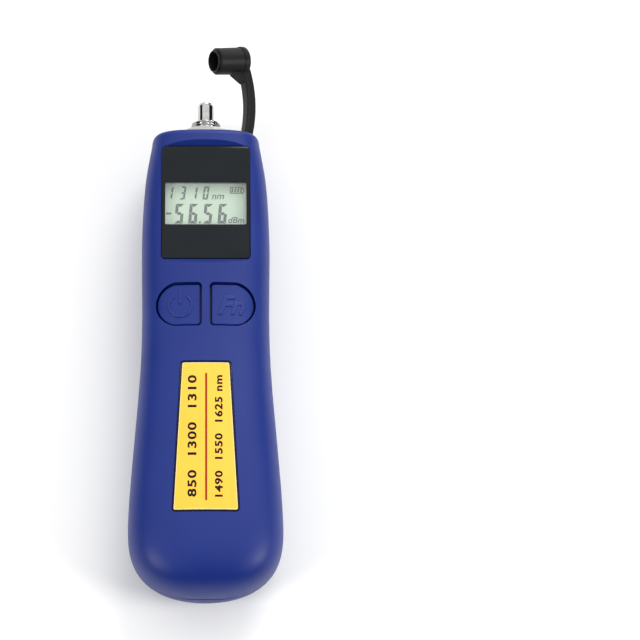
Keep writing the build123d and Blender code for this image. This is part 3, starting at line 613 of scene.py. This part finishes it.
def makeFacePrint():
    top = faceLabel["print"]
    root = -faceLabel["sunk"]
    inset = faceLabel["edge"]
    middle = (faceLabel["lowY"] + faceLabel["highY"]) / 2
    edge = plateMesh([labelOutline(faceLabel["edgeInset"]), labelOutline(inset)],
                     -faceLabel["edgeDepth"], top)
    edge = drapeMesh(edge, "front_label", pull=faceLabel["edgePull"], middleY=middle)
    addPiece("label_edge", edge, "labelDark", "case")
    pale = plateMesh([labelOutline(inset), labelOutline(inset + faceLabel["pale"])], root, top)
    addPiece("label_line", drapeMesh(pale, "front_label"), "labelPale", "case")
    red = roundedBox(faceLabel["redWidth"], faceLabel["redHigh"] - faceLabel["redLow"], faceLabel["redCorner"],
                     faceLabel["redX"], (faceLabel["redLow"] + faceLabel["redHigh"]) / 2, 2)
    red = drapeMesh(plateMesh([red], root, top), "front_label")
    addPiece("label_rule", red, "labelRed", "case")
    length = faceLabel["wordHigh"] - faceLabel["wordLow"]
    middle = (faceLabel["wordLow"] + faceLabel["wordHigh"]) / 2
    rows = [moved(rowMesh(text, tall, length, faceLabel), x, middle, 90) for x, tall, text in faceLabel["rows"]]
    addPiece("label_words", drapeMesh(joined("faceWords", rows), "front_label"), "labelDark", "case")


backLabel = {"y": 104.5, "print": 0.03, "sunk": 0.01, "bold": 0.03, "spread": 1.0, "rowLength": 17.0,
             "rows": ((-5.5, 1.55, "850  1300  1310"), (-2.4, 1.35, "1490  1550  1625 nm"),
                      (0.5, 1.35, "-70 ... +10 dBm"), (5.2, 1.3, "3 V   2 x AAA")),
             "ruleX": 3.1, "ruleWidth": 0.18, "ruleLength": 18.8, "ruleCorner": 0.05}


def makeBackPrint():
    # the drawing is laid out as it is read from behind, with +X to the right
    rows = []
    for x, tall, text in backLabel["rows"]:
        row = moved(rowMesh(text, tall, backLabel["rowLength"], backLabel), x, 0, 90)
        rows.append(moved(row, 0, backLabel["y"], flip=True))
    addPiece("plate_words", drapeMesh(joined("backWords", rows), "rear_label", -1), "labelDark", "case")
    rule = plateMesh([roundedBox(backLabel["ruleWidth"], backLabel["ruleLength"], backLabel["ruleCorner"],
                                 backLabel["ruleX"], 0, 2)], -backLabel["sunk"], backLabel["print"])
    rule = drapeMesh(moved(rule, 0, backLabel["y"], flip=True), "rear_label", -1)
    addPiece("plate_rule", rule, "labelGrey", "case")


# tubeFoot, neck, tipEdge and boreEdge are steps of (radius, y) from the corner that each one eases
port = {"innerY": 125.8, "threadEndY": 132.6, "tipY": 138.6, "steps": 72,
        "flangeRadius": 5.5, "flangeThick": 1.4, "skirtRadius": 3.9, "skirtLength": 3.6,
        "threadRadius": 3.98, "threadDepth": 0.46, "pitch": 0.75, "rowsPerPitch": 10,
        "flankSlope": 1.3, "rootWidth": 0.15, "runIn": 0.4, "chamfer": 0.35,
        "tubeRadius": 2.2, "tubeFoot": ((0.25, 0.0), (0.0, 0.18)),
        "tipRadius": 1.9, "tipLength": 0.9, "neck": ((0.12, 0.14), (0.0, 0.3)),
        "tipEdge": ((0.0, -0.3), (-0.10, -0.1), (-0.28, 0.0)),
        "boreRadius": 1.25, "boreLength": 14.2, "boreEdge": ((0.15, 0.0), (0.0, -0.2))}


def latheMesh(name, profile, steps):
    # turns (radius, y) points about the port's axis
    bm = bmesh.new()
    rows = []
    for radius, y in profile:
        row = []
        for step in range(steps):
            angle = 2 * math.pi * step / steps
            row.append(bm.verts.new(spot(radius * math.cos(angle), y, radius * math.sin(angle))))
        rows.append(row)
    for low, high in zip(rows, rows[1:] + rows[:1]):
        for step in range(steps):
            after = (step + 1) % steps
            bm.faces.new((low[step], low[after], high[after], high[step]))
    mesh = bpy.data.meshes.new(name)
    bm.to_mesh(mesh)
    bm.free()
    return mesh


def eased(radius, y, offsets):
    return [(radius + out, y + along) for out, along in offsets]


def threadSurface(y, turn):
    # radius of the thread at a share of a turn, faded in above the flange and cut down at its end
    wave = abs(2 * ((y / port["pitch"] - turn) % 1) - 1)      # 1 at the crest, 0 in the root
    crest = min(1, max(0, wave * port["flankSlope"] - port["rootWidth"]))
    groove = port["threadDepth"] * (1 - crest)
    fade = min(1, max(0, (y - port["innerY"] - port["runIn"]) / port["runIn"]))
    run = max(0, port["chamfer"] - (port["threadEndY"] - y))
    return min(port["threadRadius"] - groove * fade, port["threadRadius"] - run)


def makeBarrel():
    low = port["innerY"]
    high = port["threadEndY"]
    tipY = port["tipY"]
    bore = port["boreRadius"]
    flangeY = low - port["flangeThick"]
    skirtY = flangeY - port["skirtLength"]
    neckY = tipY - port["tipLength"]
    rows = int((high - low) / port["pitch"] * port["rowsPerPitch"])
    profile = [(bore, skirtY), (port["skirtRadius"], skirtY), (port["skirtRadius"], flangeY),
               (port["flangeRadius"], flangeY), (port["flangeRadius"], low)]
    threadStart = len(profile)
    profile += [(port["threadRadius"], low + (high - low) * row / rows) for row in range(rows + 1)]
    threadEnd = len(profile)
    profile += eased(port["tubeRadius"], high, port["tubeFoot"]) + [(port["tubeRadius"], neckY)]
    profile += eased(port["tipRadius"], neckY, port["neck"]) + eased(port["tipRadius"], tipY, port["tipEdge"])
    profile += eased(bore, tipY, port["boreEdge"]) + [(bore, tipY - port["boreLength"])]
    mesh = latheMesh("barrel", profile, port["steps"])
    for index, vertex in enumerate(mesh.vertices):
        row, step = divmod(index, port["steps"])
        if threadStart <= row < threadEnd:
            y = profile[row][1]
            turn = step / port["steps"]
            radius = threadSurface(y, turn)
            angle = 2 * math.pi * turn
            vertex.co = spot(radius * math.cos(angle), y, radius * math.sin(angle))
    addPiece("threaded_barrel", mesh, "chrome", "case", sharp=40, replaces="port_barrel")


makeCamera()
print("camera placed")
bpy.context.scene.view_settings.view_transform = "Standard"
materials = {name: makeFinish(name, look) for name, look in finishes.items()}
makeWorld()
for name, look in lamps.items():
    makeAreaLight(name, look)
makeFloor()
print("studio lit")
shadeNodes()
makeWindow()
makeDisplay()
print("display made")
makeSigns()
makeFacePrint()
makeBackPrint()
print("signs and labels printed")
makeBarrel()
print("port made")
